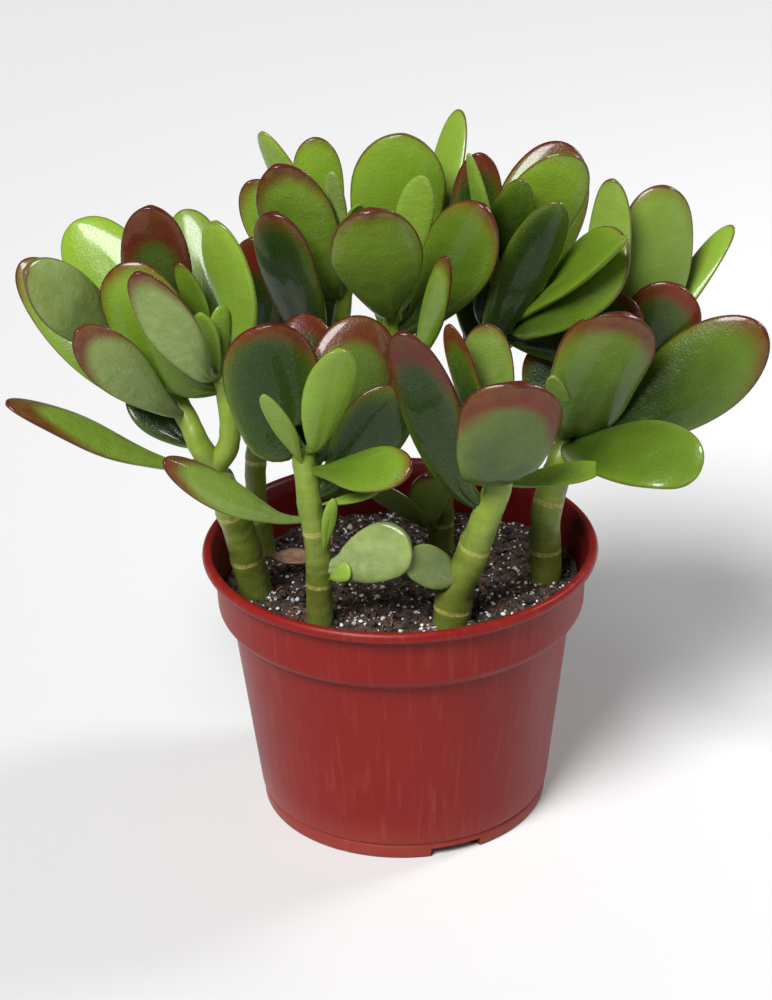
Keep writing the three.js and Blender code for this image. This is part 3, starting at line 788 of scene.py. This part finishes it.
NECK_REACH = 0.85  # how much of the way to the stem's axis the foot goes
TWIST = 0.12  # the most that an end of a leaf turns about its spine, in radians
OVAL = 1.15  # power of the sine that gives the height of a ring
UPPER_SHARE = 0.9  # height of the upper side over that of the lower
FOOT_SLIMMING, FOOT_END = 0.25, 0.15  # how much narrower the foot is, and the part of the length it takes
TIP_THINNING = 0.85
CREASE_DEPTH, CREASE_WIDTH = 0.22, 0.16  # shares of the thickness and of the half width


def outline(part, taper):
    """Half the width of a leaf at a part of its length, as a share of its greatest half width: a sine
    raised to half the taper from the foot to the widest place, then a quarter of an ellipse."""
    swell = np.sin(np.clip(part / WIDEST, 0, 1) * np.pi / 2) ** (taper / 2)
    round_end = np.sqrt(np.clip(1 - np.clip((part - WIDEST) / (1 - WIDEST), 0, 1) ** 2, 0, 1))
    return np.where(part < WIDEST, LEAF_FOOT + (1 - LEAF_FOOT) * swell, round_end)


def cad_rings(node):
    """Points of a CAD leaf by their number of edges from one of its two end points, foot first."""
    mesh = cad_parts[node].data
    places = np.empty(3 * len(mesh.vertices))
    mesh.vertices.foreach_get("co", places)
    corners = np.empty(len(mesh.loops), int)
    mesh.loops.foreach_get("vertex_index", corners)
    points, index = np.unique(np.round(places.reshape(-1, 3), 6), axis=0, return_inverse=True)
    triangles = index.ravel()[corners].reshape(-1, 3)
    linked = np.zeros((len(points), len(points)), bool)
    linked[triangles, np.roll(triangles, 1, axis=1)] = True
    linked |= linked.T
    poles = np.flatnonzero(linked.sum(axis=0) == CAD_SIDES)
    if len(poles) != 2:
        raise RuntimeError(f"{node} hasn't two end points")
    level = np.full(len(points), -1)
    level[poles[0]] = 0
    for step in range(len(STATIONS) + 1):
        level[(linked[level == step].any(axis=0)) & (level < 0)] = step + 1
    rings = [points[level == step] for step in range(len(STATIONS) + 2)]
    gaps = [np.linalg.norm(rings[a][0] - rings[b].mean(axis=0)) for a, b in ((0, 1), (-1, -2))]
    return rings if gaps[0] < gaps[1] else rings[::-1]


def cad_blade(node):
    """Spine, width and taper of a CAD leaf. The widest ring gives the leaf's side and upper directions, and
    the other rings keep the points that lie nearest to them. The spine is the cubic through the rings'
    middles."""
    rings = cad_rings(node)
    middle = rings[WIDE_STATION + 1]
    apart = lengths(middle[:, None] - middle[None])[..., 0]
    a, b = np.unravel_index(apart.argmax(), apart.shape)
    side = unit(middle[b] - middle[a])
    centre = (middle[a] + middle[b]) / 2
    forward = rings[WIDE_STATION + 2].mean(axis=0) - rings[WIDE_STATION].mean(axis=0)
    offsets = middle - centre
    near = np.argsort(np.abs(offsets @ side))[:2]
    over = unit(min(offsets[near], key=np.linalg.norm))
    if np.cross(side, forward) @ over < 0:
        side = -side
    sides = [None] * len(STATIONS)
    for order in (range(WIDE_STATION, -1, -1), range(WIDE_STATION + 1, len(STATIONS))):
        heading = side
        for i in order:
            reach = (rings[i + 1] - rings[i + 1].mean(axis=0)) @ heading
            pair = rings[i + 1][[reach.argmin(), reach.argmax()]]
            sides[i] = pair
            heading = unit(pair[1] - pair[0])
    sides = np.array(sides)
    half = lengths(sides[:, 1] - sides[:, 0])[:, 0] / 2
    centres = np.vstack([sides.mean(axis=1), rings[-1]])
    width = 2 * half[WIDE_STATION] / outline(STATIONS[WIDE_STATION], 2)
    before = slice(WIDE_STATION)
    shares = np.array([outline(STATIONS[before], taper) for taper in TAPERS])
    taper = TAPERS[np.abs(shares - half[before] / (width / 2)).sum(axis=1).argmin()]
    thickest = WIDE_STATION - 1
    level = unit(sides[thickest, 1] - sides[thickest, 0])
    lower = rings[thickest + 1] - centres[thickest]
    thick = np.linalg.norm(lower - np.outer(lower @ level, level), axis=1).max()
    return {
        "centre": np.polyfit(np.append(STATIONS, 1), centres, 3),
        "side": np.polyfit(STATIONS, unit(sides[:, 1] - sides[:, 0]), 2),
        "width": width,
        "taper": taper,
        "thick": thick,
    }


def foot_on_stem(node, blade):
    """The point on the axis of a leaf's stem that lies nearest to the leaf's base."""
    shoots = SHOOTS[node.rsplit("_", 1)[0].replace("leaf", "stem", 1)]
    axis = np.vstack([smooth_path(points, AXIS_POINTS)[0] for _, points in shoots]) * MM
    return axis[lengths(axis - blade["centre"][3])[:, 0].argmin()]


def grown_blade(base, tip, width, face, bend, taper):
    """Spine, width and taper of a small leaf given in millimetres: a cubic from base to tip whose middle
    sags by the bend away from the upper face."""
    heading, tilt = np.radians(face)
    up = np.array([np.sin(heading) * np.cos(tilt), -np.cos(heading) * np.cos(tilt), np.sin(tilt)])
    p0, p3 = np.array(base) * MM, np.array(tip) * MM
    p1, p2 = (p0 + (p3 - p0) * at - up * bend * sag * MM for at, sag in zip(SPINE_PLACES, SPINE_BENDS))
    spine = np.array([p3 - 3 * p2 + 3 * p1 - p0, 3 * p0 - 6 * p1 + 3 * p2, 3 * (p1 - p0), p0])
    slopes = np.array([3, 2, 1])[:, None] * spine[:3]
    forward = STATIONS[:, None] ** 2 * slopes[0] + STATIONS[:, None] * slopes[1] + slopes[2]
    return {
        "centre": spine,
        "side": np.polyfit(STATIONS, unit(np.cross(forward, up)), 2),
        "width": width * MM,
        "taper": taper,
        "thick": (LEAST_THICKNESS + THICKNESS_SHARE * width) * MM,
    }


def with_ends(values):
    """A leaf's grid of numbers as one row, with the number at its foot before it and the last ring's
    largest, for the tip, after it."""
    return np.concatenate([[values[0, 0]], values.ravel(), [values[-1].max()]])


def leaf_surface(blade, foot, settings, rng, curl=0.0):
    """A leaf as a closed grid of points, with each point's place on it: the spine's cubic, moved towards
    the foot on the stem by the square of how near a point of the neck is to the base, with an oval ring
    round each of its points. The points crowd at both ends. The ring's height is the sine of its turn,
    raised to a power a little over one, less on the upper side and creased along the middle near the foot.
    The thickness stays even to the middle, then falls as a quarter of an ellipse. The margins lift or drop
    with the square of their distance from the spine, in a slow wave, and the blade twists a little about
    its spine."""
    rows, sides = settings.rows, settings.section
    inside = settings.root / np.linalg.norm(blade["centre"][:3].sum(axis=0))
    t = (1 - np.cos(np.pi * (np.arange(rows) + 0.6) / (rows + 0.2))) / 2
    part = (t * (1 + inside) - inside)[:, None]
    clear = np.clip(part, 0, 1)
    centre = sum(blade["centre"][3 - n] * part**n for n in range(4))
    centre = centre + (foot - blade["centre"][3]) * NECK_REACH * np.clip(1 - clear / settings.neck, 0, 1) ** 2
    forward = unit(np.gradient(centre, axis=0))
    side = sum(blade["side"][2 - n] * clear**n for n in range(3))
    side = unit(side - (side * forward).sum(axis=1, keepdims=True) * forward)
    over = np.cross(side, forward)
    twist = rng.uniform(-TWIST, TWIST) * (clear - 0.5) * 2
    side, over = side * np.cos(twist) + over * np.sin(twist), over * np.cos(twist) - side * np.sin(twist)
    k = np.arange(sides) * TURN / sides
    x, sine = -np.cos(k), np.sin(k)
    y = np.sign(sine) * np.abs(sine) ** OVAL
    half = blade["width"] / 2 * outline(part, blade["taper"])
    half = half * (1 + 0.025 * np.sin(TURN * 1.4 * part + rng.uniform(0, TURN)))
    half = half * (1 - FOOT_SLIMMING * np.clip(1 - part / FOOT_END, 0, 1) ** 2)
    fullest = settings.fullness * blade["thick"]
    thinning = fullest * np.sqrt(1 - TIP_THINNING * np.clip(2 * part - 1, 0, 1) ** 2)
    thick = (half**-4 + thinning**-4) ** -0.25
    shape = np.where(y > 0, UPPER_SHARE, 1.0) * y
    crease = CREASE_DEPTH * np.exp(-((x / CREASE_WIDTH) ** 2)) * (sine > 0) * np.clip(1 - part, 0, 1)
    ramp = np.clip(part / 0.35, 0, 1) ** 2
    cup = (settings.cup + rng.uniform(-0.05, 0.07) + curl) * ramp * half * (x**2 - 0.3)
    wave = 0.05 * ramp * half * x**2 * np.sin(TURN * (1.2 * part + rng.uniform(0, 1)) + 1.7 * (x > 0))
    lift = thick * (shape - crease) + cup + wave
    rings = centre[:, None] + side[:, None] * (half * x)[..., None] + over[:, None] * lift[..., None]
    tip = blade["centre"].sum(axis=0) - 0.4 * cup[-1, 0] * over[-1]
    points = np.vstack([centre[0], rings.reshape(-1, 3), tip])
    end = np.clip((part - WIDEST) / (1 - WIDEST), 0, 1)
    rim = np.sqrt(np.clip(end**2 + (np.abs(x) * outline(part, blade["taper"])) ** 2, 0, 1))
    rim = np.where(part < WIDEST, np.abs(x) + 0 * part, rim)
    facts = (clear + 0 * x, rim, 0.5 + 0.5 * y + 0 * part)
    place = np.stack([with_ends(values) for values in facts], axis=-1)
    return points, place, (rows, sides)


def leaf_object(name, blade, foot, look, settings, seed, curl=0.0):
    """A leaf with its look, as tone, paleness and reddening, given to every point."""
    points, place, (rows, sides) = leaf_surface(blade, foot, settings, np.random.default_rng(seed), curl)
    looks = np.tile(np.array(look) / 10, (len(points), 1))
    return mesh_object(name, points, skin_faces(rows, sides), {"leaf_place": place, "leaf_look": looks})


class JADE_PG_leaves(bpy.types.PropertyGroup):
    """Fineness, curl and colours of the leaves."""

    rows: IntProperty(name="Rows", description="Steps along a leaf", default=40, min=8, max=200)
    section: IntProperty(name="Section", description="Steps round a leaf", default=36, min=8, max=200)
    root: FloatProperty(name="Root", description="Length of a leaf's foot inside its stem", default=0.003,
                        subtype="DISTANCE")
    neck: FloatProperty(name="Neck", description="Part of a leaf that bends in to its stem", default=0.18)
    fullness: FloatProperty(name="Fullness", description="Thickness as a share of the frame's",
                            default=1.45)
    cup: FloatProperty(name="Cup", description="How much the margins lift, as a share of the half width",
                       default=0.0)
    # Deep green is an old leaf's colour and also painted shade on the inner leaves and towards each foot; bright
    # green is a young leaf's, and also the painted light towards the tips and the painted glow at the rims.
    deep: FloatVectorProperty(name="Deep green", description="Shaded, old leaf", subtype="COLOR",
                              default=paint(30, 50, 8))
    bright: FloatVectorProperty(name="Bright green", description="Young leaf", subtype="COLOR",
                                default=paint(122, 154, 40))
    pale: FloatVectorProperty(name="Pale green", description="Dusty leaf", subtype="COLOR",
                              default=paint(150, 166, 104))
    speck: FloatVectorProperty(name="Speck", description="Pale pores", subtype="COLOR",
                               default=paint(196, 214, 130))
    red: FloatVectorProperty(name="Red", description="Reddened skin", subtype="COLOR",
                             default=paint(112, 16, 20))
    maroon: FloatVectorProperty(name="Maroon", description="Dark edge", subtype="COLOR",
                                default=paint(66, 14, 14))
    straw: FloatVectorProperty(name="Straw", description="Dried leaf", subtype="COLOR",
                               default=paint(150, 120, 90))


class JADE_OT_leaves(bpy.types.Operator):
    """Make the large leaves: each replaces its leaf in the frame, on the same spine, and is fuller than
    it"""

    bl_idname = "jade_plant.leaves"
    bl_label = "Make the large leaves"

    def execute(self, context):
        settings = context.scene.jade_leaves
        finish = leaf_skin(settings)
        for number, node in enumerate(LEAF_NODES):
            blade = cad_blade(node)
            foot = foot_on_stem(node, blade)
            name = node.replace("leaf", "blade", 1)
            leaf = leaf_object(name, blade, foot, LEAF_LOOKS[node], settings, number)
            finish_piece(leaf, finish, [node])
        return {"FINISHED"}


class JADE_OT_young_leaves(bpy.types.Operator):
    """Make the young and withered leaves that grow beside the large ones"""

    bl_idname = "jade_plant.young_leaves"
    bl_label = "Make the young leaves"

    def execute(self, context):
        settings = context.scene.jade_leaves
        finish = bpy.data.materials.get("leaf_skin") or leaf_skin(settings)
        for number, (name, (*shape, look)) in enumerate(YOUNG_LEAVES.items()):
            blade = grown_blade(*shape)
            foot = blade["centre"][3]
            leaf = leaf_object(name, blade, foot, look, settings, YOUNG_SEED + number, YOUNG_CURL)
            finish_piece(leaf, finish)
        dry = withered_skin(settings)
        for number, (name, shape) in enumerate(DRY_LEAVES.items()):
            blade = grown_blade(*shape)
            foot = blade["centre"][3]
            leaf = leaf_object(name, blade, foot, (0, 0, 0), settings, DRY_SEED + number, DRY_CURL)
            finish_piece(leaf, dry)
        return {"FINISHED"}


# ---------------------------------------------------------------------------------------------- stems

OLD_SCAR, LEAF_SCAR = 0.7, 0.25  # strength of a ring at an old scar, and where a leaf grows
SCAR_REACH = 2.2  # radii from a scar's middle within which it marks a stem
RING_WIDTH, SWELL_WIDTH, GROOVE_WIDTH = 0.0009, 0.0035, 0.0005  # along the stem, in metres
SWELL_HEIGHT, GROOVE_DEPTH = 0.06, 0.03  # shares of the radius
CAP_LENGTH, CAP_LEAST = 0.9, 0.02  # the rounded end in radii, and the least square that its rings close to
END_RINGS = 12


def scar_places(stem):
    """Where the stem has rings, in metres, and how strong each is: full at its old scars, and faint where
    its leaves grow from it."""
    trunk, _, _ = smooth_path(SHOOTS[stem][0][1], TRUNK_POINTS)
    old = [trunk[np.abs(trunk[:, 2] - height).argmin()] * MM for height in SCARS[stem]]
    leaves = [node for node in LEAF_NODES if node.rsplit("_", 1)[0] == stem.replace("stem", "leaf", 1)]
    feet = [cad_blade(node)["centre"][3] for node in leaves]
    return np.array(old + feet), np.array([OLD_SCAR] * len(old) + [LEAF_SCAR] * len(feet))


def shoot_points(radii, axis, rings_at, strengths, settings, seed):
    """A tube along the shoot's axis. Its radius goes evenly from start to end, swells at each ring scar by
    a bell curve of the distance along the axis, dips in a narrower one there, and is a little uneven all
    over. Towards the free end it closes in as a quarter circle."""
    run = smooth_path(axis, RUN_POINTS)[2]
    count = int(run / settings.step * MM) + END_RINGS
    places, along, _ = smooth_path(axis, count)
    places, radii = places * MM, np.array(radii) * MM
    across = unit(np.cross([1, 0, 0], along))
    other = np.cross(along, across)
    part = np.linspace(0, 1, count)
    radius = radii[0] + (radii[1] - radii[0]) * part
    gap = lengths(places[:, None] - rings_at[None])[..., 0]
    reach = gap < SCAR_REACH * radius[:, None]
    level = np.where(reach, np.abs(((places[:, None] - rings_at[None]) * along[:, None]).sum(axis=-1)), 1)
    scar = (strengths * np.exp(-((level / RING_WIDTH) ** 2))).max(axis=1)
    swell = (strengths**0.5 * np.exp(-((level / SWELL_WIDTH) ** 2))).max(axis=1)
    groove = (strengths * np.exp(-((level / GROOVE_WIDTH) ** 2))).max(axis=1)
    radius = radius * (1 + SWELL_HEIGHT * swell - GROOVE_DEPTH * groove)
    cap = np.clip((1 - part) * run * MM / (radii[1] * CAP_LENGTH), 0, 1)
    radius = radius * np.sqrt(np.clip(1 - (1 - cap) ** 2, CAP_LEAST, 1))
    k = np.arange(settings.sides) * TURN / settings.sides
    ring = across[:, None] * np.cos(k)[:, None] + other[:, None] * np.sin(k)[:, None]
    shape = places[:, None] + ring * radius[:, None, None]
    uneven = 1 + 0.035 * ripples(shape / MM, 14, seed) + 0.015 * ripples(shape / MM, 4, seed + 1)
    shape = places[:, None] + ring * (radius[:, None] * uneven)[..., None]
    points = np.vstack([places[0], shape.reshape(-1, 3), places[-1]])
    facts = np.concatenate([[0], np.repeat(scar, settings.sides), [0]])
    return points, facts, (count, settings.sides)


class JADE_PG_stems(bpy.types.PropertyGroup):
    """Fineness and colours of the stems."""

    sides: IntProperty(name="Sides", description="Steps round a stem", default=28, min=8, max=100)
    step: FloatProperty(name="Step", description="Length of stem from ring to ring", default=0.0006,
                        subtype="DISTANCE")
    young: FloatVectorProperty(name="Young green", description="Upper stem", subtype="COLOR",
                               default=paint(90, 114, 32))
    fresh: FloatVectorProperty(name="Fresh green", description="Lighter patches", subtype="COLOR",
                               default=paint(132, 152, 50))
    old: FloatVectorProperty(name="Old green", description="Lower stem", subtype="COLOR",
                             default=paint(76, 84, 34))
    bark: FloatVectorProperty(name="Bark", description="Brown mottling", subtype="COLOR",
                              default=paint(104, 70, 34))
    ring: FloatVectorProperty(name="Ring", description="Pale ring scar", subtype="COLOR",
                              default=paint(178, 170, 96))


class JADE_OT_stems(bpy.types.Operator):
    """Make the stems: each is a set of tubes along its shoots, with a ring where a leaf grows or has
    grown"""

    bl_idname = "jade_plant.stems"
    bl_label = "Make the stems"

    def execute(self, context):
        settings = context.scene.jade_stems
        finish = stem_skin(settings)
        for seed, (stem, shoots) in enumerate(SHOOTS.items()):
            rings_at, strengths = scar_places(stem)
            points, scars, faces, first = [], [], [], 0
            for radii, axis in shoots:
                shape, scar, (rings, sides) = shoot_points(
                    radii, axis, rings_at, strengths, settings, STEM_SEED + seed)
                points.append(shape)
                scars.append(scar)
                faces += skin_faces(rings, sides, first)
                first += len(shape)
            tube = mesh_object(stem.replace("stem", "stalk", 1), np.vstack(points), faces,
                               {"scar": np.concatenate(scars)})
            finish_piece(tube, finish, [stem])
        return {"FINISHED"}


# ---------------------------------------------------------------------------------------------- stage


class JADE_PG_stage(bpy.types.PropertyGroup):
    """Camera, lights and floor."""

    elevation: FloatProperty(name="Elevation", description="Camera's height angle",
                             default=np.radians(25.959), subtype="ANGLE")
    roll: FloatProperty(name="Roll", description="Camera's tilt", default=np.radians(1.299),
                        subtype="ANGLE")
    distance: FloatProperty(name="Distance", description="Camera to its aim", default=0.9,
                            subtype="DISTANCE")
    lens: FloatProperty(name="Lens", description="Focal length in millimetres", default=92.446)
    aim: FloatVectorProperty(name="Aim", description="Point that the camera looks at", subtype="TRANSLATION",
                             default=(-0.00459, 0, 0.115628))
    floor: FloatVectorProperty(name="Floor", description="Floor's colour", subtype="COLOR",
                               default=(0.6, 0.6, 0.6))
    key: FloatProperty(name="Key", description="Strength of the main light in watts per square metre",
                       default=5.0)
    key_spread: FloatProperty(name="Key spread", description="Width of the main light, seen from the plant",
                              default=np.radians(26), subtype="ANGLE")
    fill: FloatProperty(name="Fill", description="Power of the side light", default=0.9, unit="POWER")
    rim: FloatProperty(name="Rim", description="Power of the light behind on the right", default=5,
                       unit="POWER")
    sky: FloatProperty(name="Sky", description="Strength of the light from all round", default=0.1)


FLOOR_REACH = 30.0
SENSOR_WIDTH = 36  # millimetres
KEY_PLACE = (-0.42, -0.7, 1.05)
FILL_LIGHT = (0.5, (0.9, -0.6, 0.5))  # width and place
RIM_LIGHT = (0.25, (0.75, 0.3, 0.75))


def point_lamp(light, place, aim):
    """Puts a light at a place, turned towards its aim."""
    thing = bpy.data.objects.new(light.name, light)
    bpy.context.scene.collection.objects.link(thing)
    thing.location = place
    thing.rotation_euler = (Vector(aim) - Vector(place)).to_track_quat("-Z", "Y").to_euler()


def disk_lamp(name, power, size, place, aim):
    """A round light of one power and width."""
    light = bpy.data.lights.new(name, "AREA")
    light.energy = power
    light.shape = "DISK"
    light.size = size
    point_lamp(light, place, aim)


class JADE_OT_stage(bpy.types.Operator):
    """Make the floor, the lights and the camera"""

    bl_idname = "jade_plant.stage"
    bl_label = "Make the stage"

    def execute(self, context):
        settings = context.scene.jade_stage
        corners = [(x * FLOOR_REACH, y * FLOOR_REACH, 0) for x, y in ((-1, -1), (1, -1), (1, 1), (-1, 1))]
        floor = mesh_object("floor", corners, [(0, 1, 2, 3)])
        floor.data.materials.append(backdrop_paper(tuple(settings.floor)))
        aim = np.array(settings.aim)
        key = bpy.data.lights.new("key_light", "SUN")
        key.energy = settings.key
        key.angle = settings.key_spread
        point_lamp(key, KEY_PLACE, aim)
        disk_lamp("fill_light", settings.fill, *FILL_LIGHT, aim)
        disk_lamp("rim_light", settings.rim, *RIM_LIGHT, aim)
        world = bpy.data.worlds.new("studio")
        world.use_nodes = True
        world.node_tree.nodes["Background"].inputs[0].default_value = (1, 1, 1, 1)
        world.node_tree.nodes["Background"].inputs[1].default_value = settings.sky
        context.scene.world = world
        context.scene.view_settings.view_transform = "Standard"
        camera_data = bpy.data.cameras.new("camera")
        camera_data.lens = settings.lens
        camera_data.sensor_width = SENSOR_WIDTH
        camera = bpy.data.objects.new("camera", camera_data)
        context.scene.collection.objects.link(camera)
        back = np.array([0, -np.cos(settings.elevation), np.sin(settings.elevation)])
        level = np.array([1.0, 0, 0])
        upright = np.cross(level, -back)
        right = level * np.cos(settings.roll) - upright * np.sin(settings.roll)
        up = level * np.sin(settings.roll) + upright * np.cos(settings.roll)
        place = aim + back * settings.distance
        pose = np.vstack([np.column_stack([right, up, back, place]), [0, 0, 0, 1]])
        camera.matrix_world = Matrix(pose.tolist())
        context.scene.camera = camera
        return {"FINISHED"}


# ---------------------------------------------------------------------------------------------- panel


GROUPS = {
    "jade_pot": JADE_PG_pot,
    "jade_soil": JADE_PG_soil,
    "jade_stems": JADE_PG_stems,
    "jade_leaves": JADE_PG_leaves,
    "jade_stage": JADE_PG_stage,
}
# Each operator with the group of settings that the panel shows under it
OPERATORS = [
    (JADE_OT_pot, "jade_pot"),
    (JADE_OT_soil, "jade_soil"),
    (JADE_OT_stems, "jade_stems"),
    (JADE_OT_leaves, "jade_leaves"),
    (JADE_OT_young_leaves, None),
    (JADE_OT_stage, "jade_stage"),
]


class JADE_PT_plant(bpy.types.Panel):
    """Sizes and colours of the plant, with a button for each group of pieces"""

    bl_label = "Jade plant"
    bl_idname = "JADE_PT_plant"
    bl_space_type = "VIEW_3D"
    bl_region_type = "UI"
    bl_category = "Jade plant"

    def draw(self, context):
        for operator, group in OPERATORS:
            box = self.layout.box()
            box.operator(operator.bl_idname)
            if group:
                settings = getattr(context.scene, group)
                for name in settings.__annotations__:
                    box.prop(settings, name)


CLASSES = [*GROUPS.values(), *(operator for operator, _ in OPERATORS), JADE_PT_plant]


def register():
    for each in CLASSES:
        bpy.utils.register_class(each)
    for name, group in GROUPS.items():
        setattr(bpy.types.Scene, name, PointerProperty(type=group))


def unregister():
    for name in GROUPS:
        delattr(bpy.types.Scene, name)
    for each in reversed(CLASSES):
        bpy.utils.unregister_class(each)


def main():
    register()
    bpy.ops.jade_plant.pot()
    bpy.ops.jade_plant.soil()
    bpy.ops.jade_plant.stems()
    bpy.ops.jade_plant.leaves()
    bpy.ops.jade_plant.young_leaves()
    bpy.ops.jade_plant.stage()


if __name__ == "__main__":
    main()
